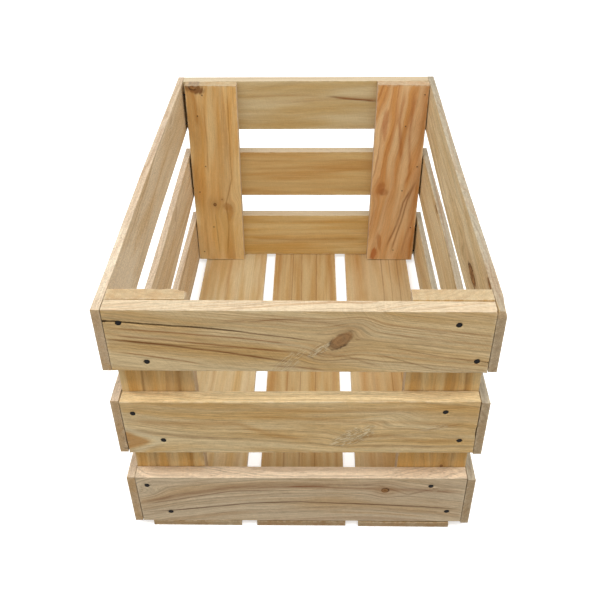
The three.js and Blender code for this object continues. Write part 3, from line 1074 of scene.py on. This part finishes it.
def pine(board, figure, seed):
    """Pine cut from a tree of concentric growth rings, so that faces, edges and ends agree."""
    shader = Shader(f"pine_{board.node}")
    grain = Grain(shader, figure, seed)
    fibre = shader.smooth(shader.noise(grain.flow, (11, 0.9, 0.9), 3.0, 0.65), 0.3, 0.7)
    pores = shader.noise(grain.spot, (0.9, 0.9, 0.9), 3.0, 0.7)
    late = late_wood(shader, grain, figure)

    wood = clear_wood(shader, grain, figure, late, fibre)
    for patch in figure.patches:
        wood = add_patch(shader, grain, wood, patch)
    for streak in figure.streaks:
        wood = add_streak(shader, grain, wood, streak)
    for knot, distance, near in grain.knots:
        wood = add_knot(shader, grain, wood, fibre, knot, distance, near)

    strokes = saw_strokes(shader, grain, figure)
    speckle = shader.centred(shader.noise(grain.spot, (2.6, 1.3, 1.3), 3.0, 0.75), figure.fuzz * 2)
    wood = shader.shaded(wood, shader.total(1.0, shader.product(strokes, 0.3), speckle))
    height = shader.total(
        shader.product(strokes, 0.35),
        shader.product(fibre, 0.16),
        shader.product(late, 0.08),
        shader.product(speckle, 0.5),
        shader.product(pores, shader.attribute("end_grain"), 0.5),
    )
    for tear in figure.tears:
        wood, height = add_tear(shader, grain, wood, height, tear)
    wood = add_ends_and_edges(shader, grain, figure, wood, pores)
    roughness = shader.total(0.55, shader.product(fibre, 0.15), shader.product(pores, 0.2))
    return shader.finish(wood, roughness, height, specular=0.25)


def nail_steel():
    """Dull blackened wire, a little rusty in places."""
    shader = Shader("nail_steel")
    metres = shader.node("TexCoord").outputs["Object"]
    place = shader.vector("MULTIPLY", metres, (1 / MM, 1 / MM, 1 / MM))
    blotches = shader.noise(place, (1.3, 1.3, 1.3), 3.0, 0.6)
    fine = shader.noise(place, (0.3, 0.3, 0.3), 2.0)
    steel = shader.mix(shader.smooth(blotches, 0.35, 0.65), colour("141210"), colour("262220"))
    steel = shader.mix(shader.smooth(blotches, 0.6, 0.75, 0.0, 0.6), steel, colour("33200f"))
    roughness = shader.total(0.3, shader.product(blotches, 0.3))
    return shader.finish(steel, roughness, shader.product(fine, 0.06), specular=0.4, metallic=0.2)


# ---------------------------------------------------------------- the pieces

def add_piece(mesh, material, node=None):
    piece = bpy.data.objects.new(mesh.name, mesh)
    bpy.context.scene.collection.objects.link(piece)
    mesh.materials.append(material)
    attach(piece, "root")
    if node:
        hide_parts(node)
    return piece


SLOTS = {
    "end_slat": "end_slat_pine",
    "side_slat": "side_slat_pine",
    "corner_post": "post_pine",
    "floor_board": "floor_board_pine",
}
WEAR = {"end_slat": 0.5, "side_slat": 0.4, "corner_post": 0.6, "floor_board": 0.45}


def build_crate():
    boards = all_boards()
    nails = cad_nails() + side_nails(boards)
    for seed, board in enumerate(boards.values(), start=100):
        kind = next(kind for kind in SLOTS if board.node.startswith(kind))
        figure = FIGURES[board.node]
        mesh = board_mesh(board, nail_marks(board, nails), figure, WEAR[kind], seed)
        mesh.name = f"{board.node}_wood"
        add_piece(mesh, pine(board, figure, seed), board.node)
    steel = nail_steel()
    for seed, nail in enumerate(nails, start=500):
        mesh = nail_mesh(nail, seed)
        mesh.name = f"{nail.name}_steel"
        add_piece(mesh, steel, nail.node)


# ---------------------------------------------------------------- stage, light and camera

FLOOR_REACH = 6.0  # from its middle to each edge
FLOOR_DROP = 0.0005  # below the crate, so that the two don't share a plane
SOFTBOX_POWER = 40
SIDE_LIGHT_POWER = 9
LIT_PLACE = (0, 0, 0.15)
CAMERA_PLACE = (0.0157, -0.7741, 0.6901)
CAMERA_ANGLES = (-37.15, -1.53, -0.78)  # pitch, yaw and roll in degrees
CAMERA_LENS = 46.43  # mm, on a sensor 36 mm wide


def make_floor():
    mesh = bpy.data.meshes.new("floor")
    square = ((-1, -1), (1, -1), (1, 1), (-1, 1))
    corners = [(x * FLOOR_REACH, y * FLOOR_REACH, 0) for x, y in square]
    mesh.from_pydata(corners, [], [(0, 1, 2, 3)])
    floor = bpy.data.objects.new("floor", mesh)
    floor.location.z = -FLOOR_DROP
    material = bpy.data.materials.new("pale_floor")
    material.use_nodes = True
    shader = material.node_tree.nodes["Principled BSDF"]
    shader.inputs["Base Color"].default_value = (0.9, 0.9, 0.9, 1)
    shader.inputs["Roughness"].default_value = 0.9
    shader.inputs["Emission Color"].default_value = (1, 1, 1, 1)
    shader.inputs["Emission Strength"].default_value = 0.5
    mesh.materials.append(material)
    bpy.context.scene.collection.objects.link(floor)
    # A white floor would throw so much light back that the crate's sides would be as bright as its tops.
    floor.visible_diffuse = False
    floor.visible_glossy = False


def area_light(name, location, size, power):
    """A soft light that shines on the middle of the crate."""
    data = bpy.data.lights.new(name, "AREA")
    data.shape = "RECTANGLE"
    data.size, data.size_y = size
    data.energy = power
    light = bpy.data.objects.new(name, data)
    light.location = location
    light.rotation_euler = (Vector(LIT_PLACE) - Vector(location)).to_track_quat("-Z", "Y").to_euler()
    bpy.context.scene.collection.objects.link(light)


def light_scene():
    world = bpy.data.worlds.new("studio")
    world.use_nodes = True
    tree = world.node_tree
    background = tree.nodes["Background"]
    direction = tree.nodes.new("ShaderNodeTexCoord")
    height = tree.nodes.new("ShaderNodeSeparateXYZ")
    ramp = tree.nodes.new("ShaderNodeMapRange")
    ramp.inputs["From Min"].default_value = -0.1
    ramp.inputs["From Max"].default_value = 0.1
    ramp.inputs["To Min"].default_value = 0.45
    ramp.inputs["To Max"].default_value = 0.6
    tree.links.new(direction.outputs["Generated"], height.inputs[0])
    tree.links.new(height.outputs["Z"], ramp.inputs["Value"])
    tree.links.new(ramp.outputs[0], background.inputs["Strength"])
    background.inputs["Color"].default_value = (1, 1, 1, 1)
    bpy.context.scene.world = world
    area_light("softbox", (0, -0.95, 2.3), (3.4, 1.0), SOFTBOX_POWER)
    for side in SIDES.values():
        area_light("side_light", (side * 1.5, 0, 1.5), (1.2, 1.2), SIDE_LIGHT_POWER)
    bpy.context.scene.view_settings.view_transform = "Standard"


def make_camera():
    """The camera stands in front of the crate's front end, well above it, and is turned slightly."""
    pitch, yaw, roll = (math.radians(angle) for angle in CAMERA_ANGLES)
    ahead = Vector((math.sin(yaw) * math.cos(pitch), math.cos(yaw) * math.cos(pitch), math.sin(pitch)))
    level = Vector((math.cos(yaw), -math.sin(yaw), 0))
    upright = level.cross(ahead)
    right = level * math.cos(roll) + upright * math.sin(roll)
    up = upright * math.cos(roll) - level * math.sin(roll)
    data = bpy.data.cameras.new("camera")
    data.sensor_width = 36
    data.lens = CAMERA_LENS
    camera = bpy.data.objects.new("camera", data)
    turn = Matrix((right, up, -ahead)).transposed().to_4x4()
    camera.matrix_world = Matrix.Translation(CAMERA_PLACE) @ turn
    bpy.context.scene.collection.objects.link(camera)
    bpy.context.scene.camera = camera


make_camera()
build_crate()
make_floor()
light_scene()
